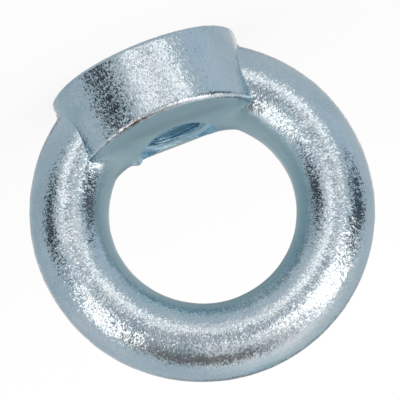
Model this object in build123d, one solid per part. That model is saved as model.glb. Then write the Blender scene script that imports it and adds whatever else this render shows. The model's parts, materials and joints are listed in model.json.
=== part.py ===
from build123d import *

import math
import os

# Lifting eye nut M12, drop forged in one piece and zinc plated.
#
# A round eye rises from a round collar, and the collar is tapped right through, so
# that the thread opens into the eye.  Units are millimetres.  The origin is the centre
# of the flat bearing face under the collar, +Z runs along the thread towards the eye,
# and the eye lies in the XZ plane, which is also the plane where the two dies met.

# Eye: a bar of nearly round section, its section growing from the crown to the root
eye_outer_d = 54.0
eye_centre_z = 24.8
opening_d = 29.2
opening_offset = 0.28           # the opening's centre is this much nearer the crown
crown_thickness = 12.0          # along Y, at the far end from the collar
root_thickness = 14.4           # along Y, where the eye runs into the collar
sections_per_half = 8

# Collar: a short round boss, its top drafted both ways from the parting plane
collar_d = 30.4
ridge_z = 13.6                  # height of the top, on the parting plane
top_draft = 12.0                # degrees
ridge_round = 3.0
shoulder_round = 0.7            # edge between the collar's wall and its top
rim_round = 0.6                 # edge between the collar's wall and the bearing face
root_fillet = 1.5               # corner where the eye runs out of the collar

# Thread M12 x 1.75, left at its minor diameter
thread_minor_r = 10.106 / 2
countersink_d = 12.6            # at the bearing face
mouth_d = 12.2                  # where the thread breaks out into the eye
mouth_z = 12.2                  # lowest height of the mouth's edge
countersink_angle = 120.0       # degrees, included, at both ends

collar_r = collar_d / 2
mean_r = (eye_outer_d + opening_d) / 4


def bar_section(turn):
    """Section of the eye at an angle about its centre, split on the parting plane."""
    outward = Vector(math.cos(math.radians(turn)), 0, math.sin(math.radians(turn)))
    along = Vector(-outward.Z, 0, outward.X)
    inner_r = opening_d / 2 + opening_offset * outward.Z
    half_width = (eye_outer_d / 2 - inner_r) / 2
    centre = Vector(0, 0, eye_centre_z) + outward * (inner_r + half_width)
    swell = (1 - outward.Z) / 2
    half_thickness = (crown_thickness + (root_thickness - crown_thickness) * swell) / 2
    front = EllipticalCenterArc((0, 0), half_width, half_thickness, start_angle=180, arc_size=180)
    back = EllipticalCenterArc((0, 0), half_width, half_thickness, start_angle=0, arc_size=180)
    return Plane(origin=centre, x_dir=outward, z_dir=along) * make_face(front + back)


def eye():
    """The ring, swept in two mirrored halves and cut off level with the bearing face."""
    turns = [90 + 180 * step / sections_per_half for step in range(sections_per_half + 1)]
    path = Plane.XZ * Pos(0, eye_centre_z) * CenterArc((0, 0), mean_r, 90, 180)
    half = sweep([bar_section(turn) for turn in turns], path=path, multisection=True)
    ring = half + mirror(half, about=Plane.YZ)
    return split(ring, bisect_by=Plane.XY, keep=Keep.TOP)


def collar():
    """The round boss under its drafted top, like a shallow roof with a rounded ridge."""
    eaves_z = ridge_z - collar_d * math.tan(math.radians(top_draft))
    gable = Polyline(
        (-collar_d, 0),
        (collar_d, 0),
        (collar_d, eaves_z),
        (0, ridge_z),
        (-collar_d, eaves_z),
        close=True,
    )
    roof = extrude(Plane.YZ * make_face(gable), collar_d, both=True)
    ridge = roof.edges().filter_by(Axis.X).sort_by(Axis.Z)[-1]
    roof = fillet(ridge, ridge_round)
    boss = roof & Cylinder(collar_r, ridge_z, align=(Align.CENTER, Align.CENTER, Align.MIN))
    shoulder = boss.edges().filter_by(lambda edge: edge.bounding_box().min.Z > ridge_z / 2)
    shoulder = shoulder.filter_by(GeomType.LINE, reverse=True)
    boss = fillet(shoulder, shoulder_round)
    rim = boss.edges().filter_by(GeomType.CIRCLE).sort_by(Axis.Z)[0]
    return fillet(rim, rim_round)


def tapping():
    """What the tap and its countersinks remove."""
    slope = math.tan(math.radians(countersink_angle / 2))
    bore = Cylinder(thread_minor_r, 4 * ridge_z)
    entry = Cone(
        countersink_d / 2,
        thread_minor_r,
        (countersink_d / 2 - thread_minor_r) / slope,
        align=(Align.CENTER, Align.CENTER, Align.MIN),
    )
    mouth_cone = Cone(
        thread_minor_r,
        mouth_d / 2,
        (mouth_d / 2 - thread_minor_r) / slope,
        align=(Align.CENTER, Align.CENTER, Align.MAX),
    )
    mouth_wall = Cylinder(mouth_d / 2, ridge_z, align=(Align.CENTER, Align.CENTER, Align.MIN))
    return bore + entry + Pos(0, 0, mouth_z) * (mouth_cone + mouth_wall)


def eye_nut():
    """The forging, its corners blended, then tapped."""
    ring = eye()
    boss = collar()
    forging = ring + boss
    corner = new_edges(ring, boss, combined=forging)
    forging = fillet(corner, root_fillet)
    return forging - tapping()


os.makedirs("parts", exist_ok=True)
nut = eye_nut()
nut.label = "eye_nut"
export_step(nut, "parts/eye_nut.step")
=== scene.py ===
import json
import math

import bmesh
import bpy
import numpy as np
from mathutils import Matrix, Vector, noise


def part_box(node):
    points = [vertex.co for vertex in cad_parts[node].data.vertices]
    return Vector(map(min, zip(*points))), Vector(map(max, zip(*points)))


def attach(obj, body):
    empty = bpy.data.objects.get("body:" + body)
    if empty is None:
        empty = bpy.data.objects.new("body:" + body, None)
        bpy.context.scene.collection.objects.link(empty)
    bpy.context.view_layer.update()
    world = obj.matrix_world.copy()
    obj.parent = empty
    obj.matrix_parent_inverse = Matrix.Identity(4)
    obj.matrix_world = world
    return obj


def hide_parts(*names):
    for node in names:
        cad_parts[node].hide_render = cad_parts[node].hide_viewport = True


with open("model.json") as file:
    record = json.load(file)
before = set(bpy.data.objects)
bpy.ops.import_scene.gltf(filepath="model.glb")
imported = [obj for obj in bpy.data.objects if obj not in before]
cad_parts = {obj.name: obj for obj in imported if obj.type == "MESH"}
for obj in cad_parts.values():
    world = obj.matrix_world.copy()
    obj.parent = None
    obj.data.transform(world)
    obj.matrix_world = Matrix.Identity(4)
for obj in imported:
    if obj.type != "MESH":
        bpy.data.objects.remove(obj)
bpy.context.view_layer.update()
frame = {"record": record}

# Lifting eye nut M12.  The solid's plain surfaces are replaced by one detailed mesh: the
# forging with its uneven surface, its trimmed parting line and its real thread.  The forging
# is a field, which says about how far a point is outside the steel.  Its zero surface is
# meshed, and the thread is cut out of that.  Lengths are in millimetres up to the point where
# a mesh is made, and in metres in Blender.

MM = 0.001
NODE = "eye_nut"

# Sizes that the frame gives
low, high = (np.array(corner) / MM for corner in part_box(NODE))
mounts = {mount["name"]: mount for mount in frame["record"]["mounts"]}
thread_minor_r = mounts["thread"]["dims"]["r_mm"]
eye_r = (high[0] - low[0]) / 2
eye_z = high[2] - eye_r
opening_z = mounts["eye"]["pos_m"][2] / MM
collar_r = (high[1] - low[1]) / 2

# The eye's ring
opening_r = 14.6
crown_half_thickness = 6.0
root_half_thickness = 7.2
ring_floor_z = 1.2              # the ring's section ends inside the collar here
parting_trim = 0.05             # how much the trimmed flash line is flattened

# The collar's top, which falls to both sides of the parting line
ridge_z = 13.96
ridge_tilt = 0.012              # the ridge climbs a little towards -X
ridge_r = 1.5
front_draft = math.radians(9.3)
back_draft = math.radians(14.8)
sink_y = 6.35                   # the top sinks a little beside the hole, most this far out in Y
sink_width = 3.4
sink_length = 8.5
front_sink = 0.68
back_sink = 0.5
burr_at = (6.4, 0.0)            # what the drill pushed up beside the hole
burr_height = 0.85
burr_width = 0.95

# The collar's wall and edges
flash = {"+X": 0.33, "-X": 0.28}    # what the trim left on the two ends of the parting line
flash_taper = 0.06              # how fast the -X one gets thinner with height
flash_width = 3.5
shoulder_r = 0.75
shoulder_swing = 0.2            # the shoulder is rounder at -X, and sharper at +X
side_width = 4.0                # how gradually such a difference comes in along X
rim_r = 0.6
rim_swing = 0.1                 # the rim is sharper by twice this on the far -X side
rim_swing_x = -9.0
rim_swing_width = 2.0

# The fillet between ring and collar.  Each edge is a distance from the eye's centre at which
# half of a radius is gone, and how softly it goes.
saddle_r = 0.3                  # along the parting plane
saddle_gain = 1.15              # what is added to that inside the opening
saddle_swing = 0.4              # how much more of it there is at +X, and less at -X
saddle_edge = (18.0, 2.0)
saddle_width = 3.4
flank_r = 0.8                   # beside the parting plane, inside the opening only
flank_edge = (17.2, 0.5)
end_r = 0.3                     # on the collar's two ends
end_width = 2.0
crease_r = 0.02                 # what there is everywhere
crisp_below = 0.1               # a fillet smaller than this is meshed as a sharp crease

# Unevenness of the forged surface: height, wavelength and place of each layer
wear_layers = (
    (0.05, 7.0, Vector((3.1, 0, 0))),
    (0.03, 2.4, Vector((0, 7.7, 0))),
    (0.012, 1.0, Vector((0, 0, 5.3))),
)
wear_from_z = 0.1               # there is none of it on the turned face, below this height
wear_fade = 0.8                 # and all of it this much higher

# Thread M12 x 1.75
thread_major_r = 6.0
pitch = 1.75
crest_flat = pitch / 4
root_flat = pitch / 8
tap_turns = range(-2, 11)       # turns of the tap, from below the bearing face into the eye
countersink_r = 6.3
countersink_slope = math.tan(math.radians(60))      # half of its 120 degrees
mouth_r = 6.35
mouth_centre = (-0.7, 0.0)
mouth_z = 12.0
mouth_chamfer = 0.5

# Mesh
mesh_step = 0.34                # spacing of the detailed mesh
but_last, but_first = slice(None, -1), slice(1, None)
round_sides = 96                # sides of the tap and the other cutting tools
sliver = 0.01                   # shorter edges than this are closed up after the cuts
sharp_angle = math.radians(38)
crease_reach = 0.12             # vertices this near to both surfaces are on their crease

# The stretch of the shoulder that is coloured with a dark brown line, in flecks
dark_line_start = (-1.0, 2.5)      # where it starts along X, and how softly
dark_line_end = (10.5, 0.8)
dark_line_width = 0.42
dark_line_depth = 0.15             # how far its middle is below the collar's top


def fade(value, edge, width):
    """1 well below the edge, 0 well above it, and a soft step between them."""
    return 0.5 - 0.5 * np.tanh((value - edge) / width)


def round_max(a, b, radius):
    """Where both solids are, with their outer edge rounded."""
    outside = np.hypot(np.maximum(a + radius, 0), np.maximum(b + radius, 0))
    return np.minimum(np.maximum(a, b), -radius) + outside


def round_min(a, b, radius):
    """Where either solid is, with their inner corner filleted."""
    return -round_max(-a, -b, radius)


def ring_field(x, y, z):
    """About how far a point is outside the eye, whose section grows towards the collar."""
    reach = np.hypot(x, z - eye_z)
    rise = (z - eye_z) / np.maximum(reach, 1e-6)
    inner = opening_r + (opening_z - eye_z) * rise
    half_width = (eye_r - inner) / 2
    swell = root_half_thickness - crown_half_thickness
    half_thickness = crown_half_thickness + swell * (1 - rise) / 2
    u = (reach - inner - half_width) / half_width
    v = y / half_thickness
    size = np.hypot(u, v)
    bar = size * (size - 1) / np.maximum(np.hypot(u / half_width, v / half_thickness), 1e-6)
    trimmed = np.maximum(bar, reach - eye_r + parting_trim)
    trimmed = np.maximum(trimmed, inner + parting_trim - reach)
    return np.maximum(trimmed, ring_floor_z - z)


def collar_wall(x, y, z):
    """The wall, with what the trim left on it along the parting line."""
    left_over = np.where(x > 0, flash["+X"], flash["-X"] - flash_taper * z)
    return np.hypot(x, y) - collar_r - left_over * np.exp(-((y / flash_width) ** 2))


def collar_top(x, y, z):
    """The top falls to both sides of the parting line, and sinks a little beside the hole."""
    from_burr = np.hypot(x - burr_at[0], y - burr_at[1])
    burr = burr_height * np.exp(-((from_burr / burr_width) ** 2))
    depth = np.where(y < 0, front_sink, back_sink)
    sink = depth * np.exp(-(((np.abs(y) - sink_y) / sink_width) ** 2) - (x / sink_length) ** 2)
    rise = z - ridge_z + ridge_tilt * x - burr + sink
    front = rise * math.cos(front_draft) - y * math.sin(front_draft)
    back = rise * math.cos(back_draft) + y * math.sin(back_draft)
    return round_max(front, back, ridge_r)


def collar_field(x, y, z):
    """About how far a point is outside the collar: a round boss under its drafted top."""
    shoulder = shoulder_r - shoulder_swing * np.tanh(x / side_width)
    boss = round_max(collar_wall(x, y, z), collar_top(x, y, z), shoulder)
    rim = rim_r + rim_swing * np.tanh((x - rim_swing_x) / rim_swing_width) - rim_swing
    return round_max(boss, -z, rim)


def root_radius(x, y, z):
    """Fillet between ring and collar: a soft saddle in the eye, and a crisp crease outside it."""
    reach = np.hypot(x, z - eye_z)
    gain = saddle_gain + saddle_swing * np.tanh(x / side_width)
    saddle = saddle_r + gain * fade(reach, *saddle_edge)
    flank = flank_r * fade(reach, *flank_edge)
    end = end_r * np.exp(-((y / end_width) ** 2))
    return crease_r + np.maximum(flank, end) + saddle * np.exp(-((y / saddle_width) ** 2))


def ring_at(points):
    """The ring's field for an array of points."""
    return ring_field(*np.moveaxis(points, -1, 0))


def collar_at(points):
    """The collar's field for an array of points."""
    return collar_field(*np.moveaxis(points, -1, 0))


def forging_field(points):
    """About how far each point is outside the forging, still without its hole."""
    radius = root_radius(*np.moveaxis(points, -1, 0))
    return round_min(ring_at(points), collar_at(points), radius)


def grid_part(parts):
    """Index of a grid from {axis: slice}.  The other axes are taken whole."""
    return tuple(parts.get(axis, slice(None)) for axis in range(3))


def crossings(grid, values, step, axis):
    """Which of the grid's edges along an axis the surface crosses, and where."""
    near, far = grid_part({axis: but_last}), grid_part({axis: but_first})
    a, b = values[near], values[far]
    crossed = (a < 0) != (b < 0)
    share = np.where(crossed, a / np.where(crossed, a - b, 1), 0)
    places = grid[near].copy()
    places[..., axis] += share * step
    return crossed, places


def quads_round(crossed, values, index, axis):
    """A quad for each crossed edge, from the vertices of the four cells round it."""
    first, second = (axis + 1) % 3, (axis + 2) % 3
    at = np.argwhere(crossed)
    at = at[(at[:, first] > 0) & (at[:, second] > 0)]
    corners = []
    for i, j in ((1, 1), (0, 1), (0, 0), (1, 0)):
        cell = at.copy()
        cell[:, first] -= i
        cell[:, second] -= j
        corners.append(index[tuple(cell.T)])
    quads = np.stack(corners, axis=1)
    leaves_steel = values[tuple(at.T)] < 0
    return np.where(leaves_steel[:, None], quads, quads[:, ::-1])


def surface_net(field, lowest, highest, step):
    """Vertices and quads of the surface where the field is zero, one vertex to a cell."""
    counts = np.ceil((highest - lowest) / step).astype(int) + 1
    axes = [lowest[k] + step * np.arange(counts[k]) for k in range(3)]
    grid = np.stack(np.meshgrid(*axes, indexing="ij"), axis=-1)
    values = field(grid)
    total = np.zeros(tuple(counts - 1) + (3,))
    number = np.zeros(tuple(counts - 1))
    crossed_edges = []
    for axis in range(3):
        crossed, places = crossings(grid, values, step, axis)
        crossed_edges.append(crossed)
        first, second = [k for k in range(3) if k != axis]
        for i in (but_last, but_first):
            for j in (but_last, but_first):
                cells = grid_part({first: i, second: j})
                total += np.where(crossed[cells][..., None], places[cells], 0)
                number += crossed[cells]
    used = number > 0
    index = np.full(used.shape, -1)
    index[used] = np.arange(used.sum())
    quads = [quads_round(crossed_edges[axis], values, index, axis) for axis in range(3)]
    return total[used] / number[used][:, None], np.concatenate(quads)


def slope_of(field, points, reach=0.02):
    """The field's gradient at each point."""
    slopes = []
    for axis in range(3):
        offset = np.zeros(3)
        offset[axis] = reach
        slopes.append((field(points + offset) - field(points - offset)) / (2 * reach))
    return np.stack(slopes, axis=-1)


def sides_of(quads):
    """Pairs of vertices, one for each side of each quad."""
    return np.concatenate([quads[:, [k, (k + 1) % 4]] for k in range(4)])


def crease_vertices(vertices, quads):
    """The collar's vertices that are next to one of the ring's, where their crease is crisp."""
    gap = ring_at(vertices) - collar_at(vertices)
    pairs = sides_of(quads)
    crossed = (gap[pairs[:, 0]] > 0) & (gap[pairs[:, 1]] <= 0)
    chosen = np.zeros(len(vertices), bool)
    chosen[pairs[crossed, 0]] = True
    return chosen & (root_radius(*vertices.T) < crisp_below)


def onto_crease(points):
    """Moves points onto the line where the ring's and the collar's surfaces meet."""
    for _ in range(3):
        values = np.stack([ring_at(points), collar_at(points)], axis=-1)
        slopes = np.stack([slope_of(ring_at, points), slope_of(collar_at, points)], axis=-2)
        across = slopes.transpose(0, 2, 1)
        points = points - (across @ np.linalg.solve(slopes @ across, values[..., None]))[..., 0]
    return points


def split_on_crease(quads, creased):
    """Cuts each quad that the crease crosses from corner to corner."""
    marked = creased[quads]
    forward = marked[:, 0] & marked[:, 2] & ~marked[:, 1] & ~marked[:, 3]
    backward = marked[:, 1] & marked[:, 3] & ~marked[:, 0] & ~marked[:, 2]
    faces = [tuple(quad) for quad in quads[~(forward | backward)]]
    for a, b, c, d in quads[forward]:
        faces += [(a, b, c), (a, c, d)]
    for a, b, c, d in quads[backward]:
        faces += [(a, b, d), (b, c, d)]
    return faces


def settle(field, vertices, quads, creased, rounds=4):
    """Evens the vertices out, and puts them exactly on the surface."""
    pairs = sides_of(quads)
    for _ in range(rounds):
        total = np.zeros_like(vertices)
        number = np.zeros(len(vertices))
        np.add.at(total, pairs[:, 0], vertices[pairs[:, 1]])
        np.add.at(number, pairs[:, 0], 1)
        vertices = vertices + 0.5 * (total / number[:, None] - vertices)
        for _ in range(2):
            slope = slope_of(field, vertices)
            size = (slope**2).sum(axis=1)
            vertices = vertices - slope * (field(vertices) / size)[:, None]
        vertices[creased] = onto_crease(vertices[creased])
    return vertices


def die_wear(points):
    """Height of the forged surface over its true form, from long swells to small pits."""
    heights = np.empty(len(points))
    for k, point in enumerate(points):
        place = Vector(point)
        heights[k] = sum(height * noise.noise(place / wave + at) for height, wave, at in wear_layers)
    return heights


def mesh_object(name, vertices, faces):
    """An object in the scene, from vertices in millimetres."""
    mesh = bpy.data.meshes.new(name)
    mesh.from_pydata([tuple(v) for v in vertices * MM], [], [tuple(map(int, f)) for f in faces])
    mesh.update()
    piece = bpy.data.objects.new(name, mesh)
    bpy.context.scene.collection.objects.link(piece)
    return piece


def forging():
    """The forged body, still without its hole."""
    margin = 3 * mesh_step
    vertices, quads = surface_net(forging_field, low - margin, high + margin, mesh_step)
    creased = crease_vertices(vertices, quads)
    vertices = settle(forging_field, vertices, quads, creased)
    normals = slope_of(forging_field, vertices)
    normals /= np.linalg.norm(normals, axis=1)[:, None]
    forged = np.clip((vertices[:, 2] - wear_from_z) / wear_fade, 0, 1)
    vertices += normals * (die_wear(vertices) * forged)[:, None]
    vertices = np.clip(vertices, low, high)
    return mesh_object("forging", vertices, split_on_crease(quads, creased))


def strip(here, there, count):
    """Quads between two columns of vertices, from the first vertex of each."""
    return [(here + k, there + k, there + k + 1, here + k + 1) for k in range(count)]


def tap():
    """A solid with the thread's outer form, longer than the hole."""
    flank = (pitch - crest_flat - root_flat) / 2
    profile = (
        (thread_minor_r, 0.0),
        (thread_minor_r, crest_flat),
        (thread_major_r, crest_flat + flank),
        (thread_major_r, crest_flat + flank + root_flat),
    )
    column = [(r, z + turn * pitch) for turn in tap_turns for r, z in profile]
    column.append((thread_minor_r, (tap_turns[-1] + 1) * pitch))
    per_turn, rows, sides = len(profile), len(column), round_sides
    vertices = []
    for side in range(sides):
        angle = 2 * math.pi * side / sides
        rise = pitch * side / sides
        vertices += [(r * math.cos(angle), r * math.sin(angle), z + rise) for r, z in column]
    faces = []
    for side in range(sides - 1):
        faces += strip(side * rows, (side + 1) * rows, rows - 1)
    last = (sides - 1) * rows
    faces += strip(last, per_turn, rows - 1 - per_turn)     # it comes round one turn higher

    foot, head = len(vertices), len(vertices) + 1
    vertices.append((0, 0, column[0][1] - pitch))
    vertices.append((0, 0, column[-1][1] + 3 * pitch))
    bottom = [side * rows for side in range(sides)] + list(range(per_turn, 0, -1))
    top = [side * rows + rows - 1 for side in range(sides - 1)]
    top += [last + rows - 1 - k for k in range(per_turn + 1)]
    faces += [(b, a, foot) for a, b in zip(bottom, bottom[1:] + bottom[:1])]
    faces += [(a, b, head) for a, b in zip(top, top[1:] + top[:1])]
    return mesh_object("tap", np.array(vertices, float), faces)


def turned(name, profile, centre=(0.0, 0.0)):
    """A solid of revolution about a vertical line, from (radius, height) points going up."""
    sides = round_sides
    x, y = centre
    vertices = []
    for r, z in profile:
        for side in range(sides):
            angle = 2 * math.pi * side / sides
            vertices.append((x + r * math.cos(angle), y + r * math.sin(angle), z))
    faces = [tuple(reversed(range(sides)))]
    for row in range(len(profile) - 1):
        lower, upper = row * sides, (row + 1) * sides
        for side in range(sides):
            after = (side + 1) % sides
            faces.append((lower + side, lower + after, upper + after, upper + side))
    faces.append(tuple(range((len(profile) - 1) * sides, len(profile) * sides)))
    return mesh_object(name, np.array(vertices, float), faces)


def countersink():
    """A cone that opens the thread at the bearing face."""
    below = 0.5
    flare = below * countersink_slope
    tip = (0.01, countersink_r / countersink_slope)
    return turned("countersink", ((countersink_r + flare, -below), tip))


def mouth():
    """The broken edge where the thread runs out into the eye, a little off the thread's axis."""
    start = (mouth_r - mouth_chamfer, mouth_z - mouth_chamfer)
    return turned("mouth", (start, (mouth_r, mouth_z), (mouth_r, opening_z)), mouth_centre)


def cut(piece, tool):
    """Takes the tool out of the piece, and deletes the tool."""
    modifier = piece.modifiers.new("cut", "BOOLEAN")
    modifier.operation = "DIFFERENCE"
    modifier.solver = "EXACT"
    modifier.object = tool
    bpy.context.view_layer.update()
    shown = piece.evaluated_get(bpy.context.evaluated_depsgraph_get())
    mesh = bpy.data.meshes.new_from_object(shown)
    piece.modifiers.clear()
    piece.data = mesh
    bpy.data.objects.remove(tool)


def drop_slivers(piece):
    """Leaves triangles only, without the slivers that the cuts made."""
    mesh = bmesh.new()
    mesh.from_mesh(piece.data)
    bmesh.ops.remove_doubles(mesh, verts=mesh.verts, dist=sliver * MM)
    bmesh.ops.triangulate(mesh, faces=mesh.faces)
    bmesh.ops.dissolve_degenerate(mesh, edges=mesh.edges, dist=sliver * MM)
    mesh.to_mesh(piece.data)
    mesh.free()


def positions(piece):
    """The piece's vertices, in millimetres."""
    places = np.empty(len(piece.data.vertices) * 3)
    piece.data.vertices.foreach_get("co", places)
    return places.reshape(-1, 3) / MM


def mark_shoulder(piece):
    """Marks the stretch of the collar's shoulder that is coloured dark brown."""
    x, y, z = positions(piece).T
    off = np.hypot(collar_wall(x, y, z), collar_top(x, y, z) + dark_line_depth)
    stretch = (1 - fade(x, *dark_line_start)) * fade(x, *dark_line_end)
    attribute = piece.data.attributes.new("shoulder", "FLOAT", "POINT")
    attribute.data.foreach_set("value", np.exp(-((off / dark_line_width) ** 2)) * stretch)


def shade(piece):
    """Smooth shading, split at the machined edges and along the crisp crease."""
    mesh = piece.data
    mesh.shade_smooth()
    mesh.set_sharp_from_angle(angle=sharp_angle)
    places = positions(piece)
    creased = np.hypot(ring_at(places), collar_at(places)) < crease_reach
    creased &= root_radius(*places.T) < crisp_below
    edges = np.empty(len(mesh.edges) * 2, int)
    mesh.edges.foreach_get("vertices", edges)
    sharp = np.empty(len(mesh.edges), bool)
    marks = mesh.attributes["sharp_edge"].data
    marks.foreach_get("value", sharp)
    marks.foreach_set("value", sharp | creased[edges.reshape(-1, 2)].all(axis=1))


def eye_nut():
    """The whole nut, in one piece."""
    piece = forging()
    piece.name = "eye_nut_forging"
    cut(piece, tap())
    cut(piece, countersink())
    cut(piece, mouth())
    drop_slivers(piece)
    mark_shoulder(piece)
    shade(piece)
    return piece


class Nodes:
    """Short ways to add nodes to a tree."""

    def __init__(self, tree):
        self.tree = tree
        tree.nodes.clear()

    def add(self, kind, inputs=None, **settings):
        node = self.tree.nodes.new(kind)
        for name, value in settings.items():
            setattr(node, name, value)
        for key, value in (inputs or {}).items():
            if isinstance(value, bpy.types.NodeSocket):
                self.tree.links.new(value, node.inputs[key])
            else:
                node.inputs[key].default_value = value
        return node

    def math(self, operation, *values):
        return self.add("ShaderNodeMath", dict(enumerate(values)), operation=operation).outputs[0]

    def product(self, a, b):
        return self.math("MULTIPLY", a, b)

    def vector(self, operation, *values):
        inputs = dict(enumerate(values))
        return self.add("ShaderNodeVectorMath", inputs, operation=operation).outputs["Vector"]

    def length(self, vector):
        return self.add("ShaderNodeVectorMath", {0: vector}, operation="LENGTH").outputs["Value"]

    def dot(self, a, b):
        return self.add("ShaderNodeVectorMath", {0: a, 1: b}, operation="DOT_PRODUCT").outputs["Value"]

    def parts(self, vector):
        return [self.dot(vector, axis) for axis in ((1, 0, 0), (0, 1, 0), (0, 0, 1))]

    def combine(self, x, y, z=0.0):
        return self.add("ShaderNodeCombineXYZ", {0: x, 1: y, 2: z}).outputs[0]

    def ramp(self, value, start, end, before=0.0, after=1.0):
        """A soft step from one value before the start to another after the end."""
        inputs = {"Value": value, "From Min": start, "From Max": end}
        inputs |= {"To Min": before, "To Max": after}
        return self.add("ShaderNodeMapRange", inputs, interpolation_type="SMOOTHSTEP").outputs["Result"]

    def mix(self, share, a, b):
        return self.add("ShaderNodeMix", {0: share, 6: a, 7: b}, data_type="RGBA").outputs[2]

    def noise(self, place, scale, detail, roughness=0.5):
        inputs = {"Vector": place, "Scale": scale, "Detail": detail, "Roughness": roughness}
        return self.add("ShaderNodeTexNoise", inputs).outputs[0]


# Finish.  Scales are in cells to the metre.  The other lengths are in metres.
zinc_colours = ((0.43, 0.585, 0.68, 1), (0.56, 0.70, 0.775, 1))
# Painted shade: the eye's inner side and the collar's top, where the steel faces itself, are coloured
# darker and bluer
inner_shade_colour = (0.40, 0.57, 0.63, 1)
# Painted light: the tapped hole is coloured brighter and bluer, for the light that bounces about inside
# it
bore_light_colour = (0.46, 0.71, 0.85, 1)
dark_line_colour = (0.19, 0.15, 0.125, 1)
facet_scale = 6000.0
facet_stretch = 0.7             # facets are longer across the ring than round it
facet_ring_r = 26 * MM          # the radius at which their length round the ring is measured
facet_tilt = {"blasted": 0.22, "smooth": 0.05}
dent_scale, dent_depth = 1500.0, 0.00005
face_dents = 0.2                # share of the dents' depth that is left on the turned face
tap_scale, tap_depth = 5000.0, 0.00016
tap_turn = 0.004                # length of the pattern in one turn of the thread
turning_scale, turning_depth = 1600.0, 0.00006
turning_turn = 0.0006           # the same on the turned face
cloud_scale = 160.0
fleck_scale = 900.0
zinc_roughness = (0.17, 0.22)
inner_roughness = 0.22          # what the eye's dull inner side adds

# Where each part of the finish begins, and where it is complete
inner_facing = (-0.60, -0.90)   # how far a surface faces away from the eye's axis
turned_facing = (-0.97, -0.99)  # how far it faces upwards
steep_facing = (0.95, 0.90)     # how far it faces up or down
bore_edge = (6.9 * MM, 6.75 * MM)       # distance from the hole's middle line
bore_top = (ridge_z + 2) * MM           # and the hole's finish stays below this height
facet_tones = (0.3, 0.7)
cloud_tones = (0.35, 0.65)
cloud_gloss = (0.3, 0.7)
dark_line_flecks = (0.42, 0.54)


def hole_distance(nodes, place):
    """Distance from a line half-way between the thread's axis and the mouth's."""
    from_hole = nodes.vector("SUBTRACT", place, (mouth_centre[0] * MM / 2, 0, 0))
    return nodes.length(nodes.vector("MULTIPLY", from_hole, (1, 1, 0)))


def zones(nodes, place, facing):
    """Shares of the eye's inner side, the tapped hole and the turned bearing face."""
    from_eye = nodes.vector("SUBTRACT", place, (0, 0, eye_z * MM))
    outward = nodes.vector("NORMALIZE", nodes.vector("MULTIPLY", from_eye, (1, 0, 1)))
    inner = nodes.ramp(nodes.dot(outward, facing), *inner_facing)

    upright = nodes.dot(facing, (0, 0, 1))
    in_hole = nodes.ramp(hole_distance(nodes, place), *bore_edge)
    in_collar = nodes.math("LESS_THAN", nodes.dot(place, (0, 0, 1)), bore_top)
    steep = nodes.ramp(nodes.math("ABSOLUTE", upright), *steep_facing)
    bore = nodes.product(nodes.product(in_hole, in_collar), steep)
    return inner, bore, nodes.ramp(upright, *turned_facing)


def relief(nodes, place, bore, turned_face):
    """Normals with dents all over, the tap's marks in the hole and the tool's on the face."""
    x, y, z = nodes.parts(place)
    turn = nodes.math("DIVIDE", nodes.math("ARCTAN2", y, x), 2 * math.pi)
    lead = nodes.math("SUBTRACT", z, nodes.product(turn, pitch * MM))
    spiral = nodes.combine(lead, hole_distance(nodes, place), nodes.product(turn, tap_turn))
    from_thread = nodes.length(nodes.vector("MULTIPLY", place, (1, 1, 0)))
    rings = nodes.combine(from_thread, nodes.product(turn, turning_turn))

    dents = nodes.noise(place, dent_scale, 1.0)
    dents = nodes.product(dents, nodes.ramp(turned_face, 0, 1, 1, face_dents))
    tap_marks = nodes.product(nodes.noise(spiral, tap_scale, 2.0), bore)
    turning_marks = nodes.product(nodes.noise(rings, turning_scale, 2.0), turned_face)
    bump = nodes.add("ShaderNodeBump", {"Height": dents, "Distance": dent_depth}).outputs[0]
    for height, depth in ((tap_marks, tap_depth), (turning_marks, turning_depth)):
        inputs = {"Height": height, "Distance": depth, "Normal": bump}
        bump = nodes.add("ShaderNodeBump", inputs).outputs[0]
    return bump


def blasted_facets(nodes, place):
    """A random colour for each small facet of the blasted surface, which gives its tilt."""
    from_eye = nodes.vector("SUBTRACT", place, (0, 0, eye_z * MM))
    x, y, rise = nodes.parts(from_eye)
    around = nodes.product(nodes.math("ARCTAN2", rise, x), facet_ring_r)
    outward = nodes.length(nodes.vector("MULTIPLY", from_eye, (1, 0, 1)))
    outward, across = nodes.product(outward, facet_stretch), nodes.product(y, facet_stretch)
    inputs = {"Vector": nodes.combine(around, outward, across), "Scale": facet_scale, "Smoothness": 0.5}
    return nodes.add("ShaderNodeTexVoronoi", inputs, feature="SMOOTH_F1").outputs["Color"]


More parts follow.
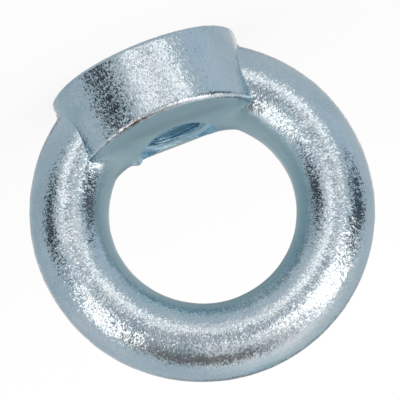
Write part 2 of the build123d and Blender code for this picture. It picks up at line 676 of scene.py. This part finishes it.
def zinc():
    """Blue-passivated zinc over a blasted forging."""
    material = bpy.data.materials.new("zinc_plate")
    material.use_nodes = True
    nodes = Nodes(material.node_tree)
    coordinates = nodes.add("ShaderNodeTexCoord").outputs
    place = coordinates["Object"]
    inner, bore, turned_face = zones(nodes, place, coordinates["Normal"])
    facets = blasted_facets(nodes, place)
    clouds = nodes.noise(place, cloud_scale, 4.0, 0.6)
    flecks = nodes.noise(place, fleck_scale, 3.0, 0.6)

    smooth = nodes.math("MAXIMUM", nodes.math("MAXIMUM", inner, bore), turned_face)
    tilt = nodes.ramp(smooth, 0, 1, facet_tilt["blasted"], facet_tilt["smooth"])
    tilt = nodes.vector("MULTIPLY", nodes.vector("SUBTRACT", facets, (0.5, 0.5, 0.5)), tilt)
    normal = nodes.vector("ADD", relief(nodes, place, bore, turned_face), tilt)

    facet_tone = nodes.ramp(nodes.dot(facets, (0.33, 0.33, 0.33)), *facet_tones)
    tones = nodes.math("ADD", facet_tone, nodes.ramp(clouds, *cloud_tones))
    colour = nodes.mix(nodes.product(tones, 0.5), *zinc_colours)
    # painted shade: darker and bluer where the steel faces the eye's axis
    colour = nodes.mix(inner, colour, inner_shade_colour)
    # painted light: brighter and bluer inside the tapped hole
    colour = nodes.mix(bore, colour, bore_light_colour)
    shoulder = nodes.add("ShaderNodeAttribute", attribute_name="shoulder").outputs["Fac"]
    # a dark brown line, in flecks, along the shoulder
    dark_line = nodes.product(shoulder, nodes.ramp(flecks, *dark_line_flecks))
    colour = nodes.mix(dark_line, colour, dark_line_colour)
    rough = nodes.ramp(clouds, *cloud_gloss, *zinc_roughness)
    rough = nodes.math("ADD", rough, nodes.product(inner, inner_roughness))
    shader = nodes.add("ShaderNodeBsdfPrincipled", {
        "Base Color": colour,
        "Metallic": 1.0,
        "Roughness": rough,
        "Normal": nodes.vector("NORMALIZE", normal),
    })
    nodes.add("ShaderNodeOutputMaterial", {"Surface": shader.outputs[0]})
    return material


# Camera: looks at the eye from in front and a little above, rolled onto its side
camera_elevation = math.radians(12.638)
camera_azimuth = math.radians(4.182)
camera_roll = math.radians(67.405)
camera_distance = 0.480
camera_aim = Vector((0, 0, 0.026))
camera_offset = (0.000772, 0.002759)    # how far the camera is moved left and up
focal_length = 277.1

toward = Vector((
    math.cos(camera_elevation) * math.sin(camera_azimuth),
    -math.cos(camera_elevation) * math.cos(camera_azimuth),
    math.sin(camera_elevation),
))
level = Vector((math.cos(camera_azimuth), math.sin(camera_azimuth), 0))
above = level.cross(-toward)
camera_right = -math.sin(camera_roll) * level + math.cos(camera_roll) * above
camera_up = -math.cos(camera_roll) * level - math.sin(camera_roll) * above


def direction(right, down):
    """Unit vector from the nut, so many degrees right and down of the camera in the picture."""
    away = math.radians(math.hypot(right, down))
    side = (camera_right * right - camera_up * down).normalized()
    return math.cos(away) * toward + math.sin(away) * side


def band_axes(start, end):
    """Middle, long axis and half length in radians of a band between two directions."""
    a, b = direction(*start), direction(*end)
    return (a + b).normalized(), (b - a).normalized(), a.angle(b) / 2


def add_camera():
    """The picture's camera."""
    data = bpy.data.cameras.new("camera")
    data.sensor_width = 36
    data.lens = focal_length
    data.clip_start, data.clip_end = 0.01, 20
    camera = bpy.data.objects.new("camera", data)
    axes = Matrix((camera_right, camera_up, toward)).transposed()
    left, up = camera_offset
    spot = camera_aim + toward * camera_distance - camera_right * left + camera_up * up
    camera.matrix_world = Matrix.Translation(spot) @ axes.to_4x4()
    bpy.context.scene.collection.objects.link(camera)
    bpy.context.scene.camera = camera


lamp_distance = 0.9
lamp_colour = (1.0, 0.74, 0.62)
lamp_radiance = 1.38


def add_lamp(name, start, end, width):
    """A soft lamp between two directions, so many degrees wide, and named as the nut sees it."""
    middle, long_axis, half_length = band_axes(start, end)
    data = bpy.data.lights.new(name, "AREA")
    data.shape = "RECTANGLE"
    data.size = lamp_distance * 2 * math.tan(half_length)
    data.size_y = lamp_distance * 2 * math.tan(math.radians(width) / 2)
    data.color = lamp_colour
    # Blender's area lamp has a radiance of its energy over four times its area
    data.energy = lamp_radiance * 4 * data.size * data.size_y
    lamp = bpy.data.objects.new(name, data)
    short_axis = middle.cross(long_axis).normalized()
    axes = Matrix((long_axis, short_axis, middle)).transposed()
    lamp.matrix_world = Matrix.Translation(camera_aim + middle * lamp_distance) @ axes.to_4x4()
    lamp.visible_camera = False
    bpy.context.scene.collection.objects.link(lamp)


# What the metal mirrors besides the lamps: an even pale room with cards in it.  For each card,
# its start and its end in degrees right and down of the camera, its width in degrees, how soft
# its edge is, and its colour.  A card covers the ones before it.
room = (0.62, 0.62, 0.63)
cards = (
    ((-110, -50), (-100, 20), 80, 0.6, (0.49, 0.53, 0.555)),    # grey, far left
    ((10, 46), (84, 50), 62, 0.6, (1.15, 0.98, 0.93)),          # pale, lower right
    ((11, -6), (19, 30), 30, 0.6, (1.15, 0.95, 0.88)),          # pale, right of the camera
    ((-34, -26), (26, -40), 34, 0.6, (1.1, 0.92, 0.86)),        # pale, above
    ((-10, 12), (5, -32), 11, 0.5, (0.34, 0.33, 0.34)),         # grey, past the camera
    ((40, 122), (62, 116), 34, 0.5, (0.36, 0.48, 0.53)),        # blue, low behind the nut
    ((44, -46), (84, -42), 30, 0.6, (0.66, 0.68, 0.74)),        # blue, upper right
    ((-78, 2), (-42, -26), 25, 0.2, (0.01, 0.012, 0.015)),      # black, left
    ((46, -24), (92, -14), 24, 0.2, (0.05, 0.06, 0.07)),        # black, right
    ((-34, 42), (34, 44), 36, 0.6, (0.22, 0.17, 0.15)),         # brown, below
    ((-20, 30), (-8, 4), 12, 0.4, (0.16, 0.16, 0.18)),          # dark, just below the camera
    ((-25, -28), (-7, -30), 18, 0.4, (2.1, 1.75, 1.62)),        # bright, upper left
    ((5, -34), (27, -45), 15, 0.4, (2.1, 1.75, 1.6)),           # bright, upper right
    ((14, 94), (82, 72), 26, 0.5, (0.85, 0.80, 0.78)),          # pale, far below
    ((60, 78), (96, 52), 36, 0.6, (0.78, 0.72, 0.70)),          # pale, far lower right
    ((-52, 84), (-86, 52), 40, 0.6, (0.76, 0.70, 0.70)),        # pale, far lower left
    ((140, -70), (-140, 70), 16, 0.5, (1.5, 1.25, 1.15)),       # bright, behind the nut
    ((135, 54), (-38, 140), 14, 0.4, (0.16, 0.18, 0.20)),       # dark, beside that
    ((-135, -54), (38, -140), 14, 0.4, (0.16, 0.18, 0.20)),
)
room_light = (0.85, 0.85, 0.85, 1)      # what the floor sees


def card_share(nodes, look, start, end, width, softness):
    """How much of a card is seen in each direction: all of it inside a soft-edged ellipse."""
    middle, long_axis, half_length = band_axes(start, end)
    short_axis = middle.cross(long_axis)
    u = nodes.math("DIVIDE", nodes.dot(look, long_axis), math.sin(half_length))
    v = nodes.math("DIVIDE", nodes.dot(look, short_axis), math.sin(math.radians(width / 2)))
    size = nodes.math("SQRT", nodes.math("ADD", nodes.product(u, u), nodes.product(v, v)))
    ahead = nodes.math("GREATER_THAN", nodes.dot(look, middle), 0.0)
    return nodes.product(nodes.ramp(size, 1 + softness, 1 - softness), ahead)


def add_world():
    """White to the camera, the cards in the metal, and an even light for the rest."""
    world = bpy.data.worlds.new("studio")
    bpy.context.scene.world = world
    world.use_nodes = True
    world.cycles.sampling_method = "NONE"
    nodes = Nodes(world.node_tree)
    look = nodes.add("ShaderNodeTexCoord").outputs["Generated"]
    shine = (*room, 1)
    for *card, colour in cards:
        shine = nodes.mix(card_share(nodes, look, *card), shine, (*colour, 1))
    path = nodes.add("ShaderNodeLightPath").outputs
    mirrored = nodes.math("MAXIMUM", path["Is Glossy Ray"], path["Is Transmission Ray"])
    seen = nodes.mix(mirrored, room_light, shine)
    seen = nodes.mix(path["Is Camera Ray"], seen, (1, 1, 1, 1))
    shader = nodes.add("ShaderNodeBackground", {"Color": seen, "Strength": 1.0})
    nodes.add("ShaderNodeOutputWorld", {"Surface": shader.outputs[0]})


floor_half = 2.0
floor_colour = (0.9, 0.9, 0.9, 1)
shadow_reach = (0.05, 0.25)     # the floor turns plain white between these distances
floor_glow = (0.86, 1.0)        # how white it is at each of them


def add_floor():
    """A matt floor that fades to white, and that can't be seen from below."""
    mesh = bpy.data.meshes.new("floor")
    h = floor_half
    mesh.from_pydata([(-h, -h, 0), (h, -h, 0), (h, h, 0), (-h, h, 0)], [], [(0, 1, 2, 3)])
    floor = bpy.data.objects.new("floor", mesh)
    bpy.context.scene.collection.objects.link(floor)
    floor.visible_glossy = False
    floor.visible_shadow = False
    floor.visible_diffuse = False
    material = bpy.data.materials.new("floor")
    material.use_nodes = True
    nodes = Nodes(material.node_tree)
    away = nodes.length(nodes.add("ShaderNodeTexCoord").outputs["Object"])
    share = nodes.ramp(away, *shadow_reach, *floor_glow)
    matt = nodes.add("ShaderNodeBsdfDiffuse", {"Color": floor_colour})
    white = nodes.add("ShaderNodeEmission", {"Color": (1, 1, 1, 1), "Strength": 1.0})
    front = nodes.add("ShaderNodeMixShader", {0: share, 1: matt.outputs[0], 2: white.outputs[0]})
    clear = nodes.add("ShaderNodeBsdfTransparent")
    behind = nodes.add("ShaderNodeNewGeometry").outputs["Backfacing"]
    both = nodes.add("ShaderNodeMixShader", {0: behind, 1: front.outputs[0], 2: clear.outputs[0]})
    nodes.add("ShaderNodeOutputMaterial", {"Surface": both.outputs[0]})
    mesh.materials.append(material)


bpy.context.scene.view_settings.view_transform = "Standard"
add_camera()
add_lamp("lamp_left", (16, -9), (66, 24), 21.5)
add_lamp("lamp_right", (-22, 0), (-51, 47), 17)
add_world()
add_floor()

nut = eye_nut()
nut.data.materials.clear()
nut.data.materials.append(zinc())
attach(nut, "root")
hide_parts(NODE)
